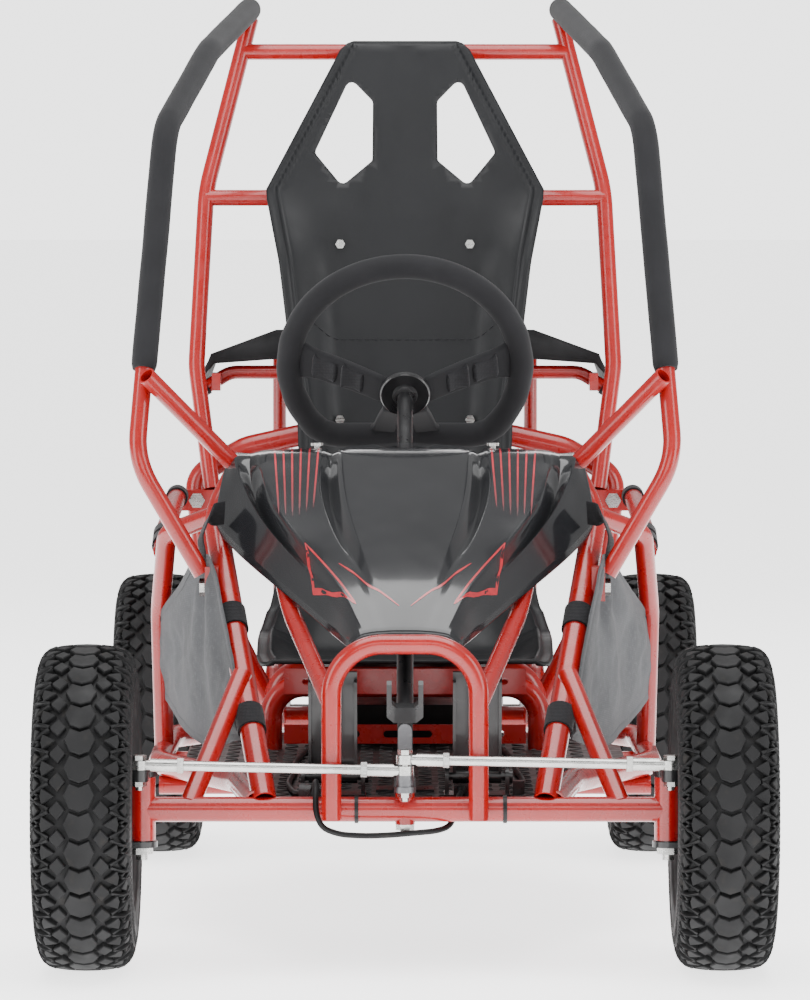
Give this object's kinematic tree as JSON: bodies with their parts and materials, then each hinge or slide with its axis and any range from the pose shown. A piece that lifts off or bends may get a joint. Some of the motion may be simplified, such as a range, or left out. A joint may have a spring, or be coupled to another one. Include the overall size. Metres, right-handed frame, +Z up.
{
  "type": "off-road go-kart",
  "caption": "Child's single-seat off-road go-kart: welded tube chassis with bolted cage, kingpin steering, bucket seat, pedals and a chain-driven live rear axle.",
  "frame": {"origin": "on the ground under the middle of the kart, half way between the axles", "axes": "-Y forward, +Y to the rear, +Z up, +X to the driver's left"},
  "size_m": [0.7426, 1.3792, 1.0097],
  "materials": {
    "frame_red": "gloss powder coat",
    "black_paint": "satin",
    "zinc_steel": "zinc plated",
    "dark_steel": "oiled",
    "bare_steel": "ground",
    "cast_alloy": "cast",
    "tyre_rubber": "matte",
    "rim_black": "satin",
    "foam": "matte foam",
    "pan_black": "tread plate",
    "seat_plastic": "grained",
    "gloss_black": "gloss",
    "cover_plastic": "satin",
    "box_plastic": "satin",
    "cable_rubber": "satin",
    "strap_web": "webbing",
    "net_fabric": "woven"
  },
  "bodies": {
    "root": {"battery_box": "box_plastic", "brake_caliper": "cast_alloy", "cage_bars": "frame_red", "cage_braces": "frame_red", "cage_foam": "foam", "cage_rear_legs": "frame_red", "column_supports": "black_paint", "control_cables": "cable_rubber", "controller_box": "box_plastic", "cover_supports": "frame_red", "cross_members": "frame_red", "dash_hoop": "frame_red", "drive_chain": "dark_steel", "drive_mounts": "black_paint", "floor_pan": "pan_black", "frame_bolts": "zinc_steel", "frame_brackets": "frame_red", "front_axle_beam": "frame_red", "front_braces": "frame_red", "front_bumper": "frame_red", "front_fairing": "gloss_black", "lower_rails": "frame_red", "motor": "cast_alloy", "net_straps": "strap_web", "pedal_brackets": "black_paint", "rear_axle_bearings": "cast_alloy", "rear_cover": "cover_plastic", "rear_frame_hoop": "frame_red", "seat_frame": "frame_red", "seat_shell": "seat_plastic", "side_bars": "frame_red", "side_nets": "net_fabric", "ties_and_caps": "box_plastic"},
    "steering": {"steering_column": "black_paint", "steering_wheel_core": "black_paint", "steering_wheel_grip": "foam", "steering_wheel_bolts": "zinc_steel"},
    "pitman": {"pitman_arm": "dark_steel", "rod_end_centre_bolt": "zinc_steel"},
    "left_rod": {"left_tie_rod": "zinc_steel"},
    "right_rod": {"right_tie_rod": "zinc_steel"},
    "left_hub_carrier": {"left_knuckle": "black_paint", "left_knuckle_hardware": "zinc_steel"},
    "right_hub_carrier": {"right_knuckle": "black_paint", "right_knuckle_hardware": "zinc_steel"},
    "left_front_wheel": {"left_front_tyre": "tyre_rubber", "left_front_rim": "rim_black"},
    "right_front_wheel": {"right_front_tyre": "tyre_rubber", "right_front_rim": "rim_black"},
    "rear_axle_set": {"rear_axle": "zinc_steel", "rear_axle_nuts": "zinc_steel", "left_rear_tyre": "tyre_rubber", "left_rear_rim": "rim_black", "right_rear_tyre": "tyre_rubber", "right_rear_rim": "rim_black", "sprocket": "dark_steel", "brake_disc": "bare_steel"},
    "pinion": {"motor_pinion": "dark_steel"},
    "throttle": {"throttle_pedal": "black_paint"},
    "brake": {"brake_pedal": "black_paint"}
  },
  "joints": [
    {"name": "steering_turn", "type": "hinge", "parent": "root", "child": "steering", "pos_m": [0, -0.005, 0.562], "axis": [0, 0.8583, 0.5132], "range_deg": [-24, 24]},
    {"name": "pitman_turn", "type": "hinge", "parent": "root", "child": "pitman", "pos_m": [0, -0.525, 0.19], "axis": [0, 0, 1], "range_deg": [-24, 24]},
    {"name": "left_rod_turn", "type": "hinge", "parent": "pitman", "child": "left_rod", "pos_m": [0, -0.581, 0.208], "axis": [0, 0, 1], "range_deg": [-24, 24]},
    {"name": "right_rod_turn", "type": "hinge", "parent": "pitman", "child": "right_rod", "pos_m": [0, -0.581, 0.219], "axis": [0, 0, 1], "range_deg": [-24, 24]},
    {"name": "left_kingpin_turn", "type": "hinge", "parent": "root", "child": "left_hub_carrier", "pos_m": [-0.266, -0.525, 0.165], "axis": [0, 0, 1], "range_deg": [-24, 24]},
    {"name": "right_kingpin_turn", "type": "hinge", "parent": "root", "child": "right_hub_carrier", "pos_m": [0.266, -0.525, 0.165], "axis": [0, 0, 1], "range_deg": [-24, 24]},
    {"name": "left_front_roll", "type": "hinge", "parent": "left_hub_carrier", "child": "left_front_wheel", "pos_m": [-0.321, -0.525, 0.165], "axis": [1, 0, 0], "continuous": true},
    {"name": "right_front_roll", "type": "hinge", "parent": "right_hub_carrier", "child": "right_front_wheel", "pos_m": [0.321, -0.525, 0.165], "axis": [1, 0, 0], "continuous": true},
    {"name": "rear_axle_roll", "type": "hinge", "parent": "root", "child": "rear_axle_set", "pos_m": [0, 0.525, 0.165], "axis": [1, 0, 0], "continuous": true},
    {"name": "motor_spin", "type": "hinge", "parent": "root", "child": "pinion", "pos_m": [-0.095, 0.4, 0.188], "axis": [1, 0, 0], "continuous": true},
    {"name": "throttle_press", "type": "hinge", "parent": "root", "child": "throttle", "pos_m": [-0.074, -0.421, 0.186], "axis": [1, 0, 0], "range_deg": [0, 18], "stiffness_Nm_per_rad": 2.5, "springref_deg": -11.46},
    {"name": "brake_press", "type": "hinge", "parent": "root", "child": "brake", "pos_m": [0.074, -0.421, 0.186], "axis": [1, 0, 0], "range_deg": [0, 18], "stiffness_Nm_per_rad": 4, "springref_deg": -11.46}
  ],
  "couplings": [
    {"joint": "pitman_turn", "follows": "steering_turn", "ratio": 1},
    {"joint": "left_kingpin_turn", "follows": "steering_turn", "ratio": 1},
    {"joint": "right_kingpin_turn", "follows": "steering_turn", "ratio": 1},
    {"joint": "left_rod_turn", "follows": "steering_turn", "ratio": -1},
    {"joint": "right_rod_turn", "follows": "steering_turn", "ratio": -1},
    {"joint": "motor_spin", "follows": "rear_axle_roll", "ratio": 4.9091}
  ]
}
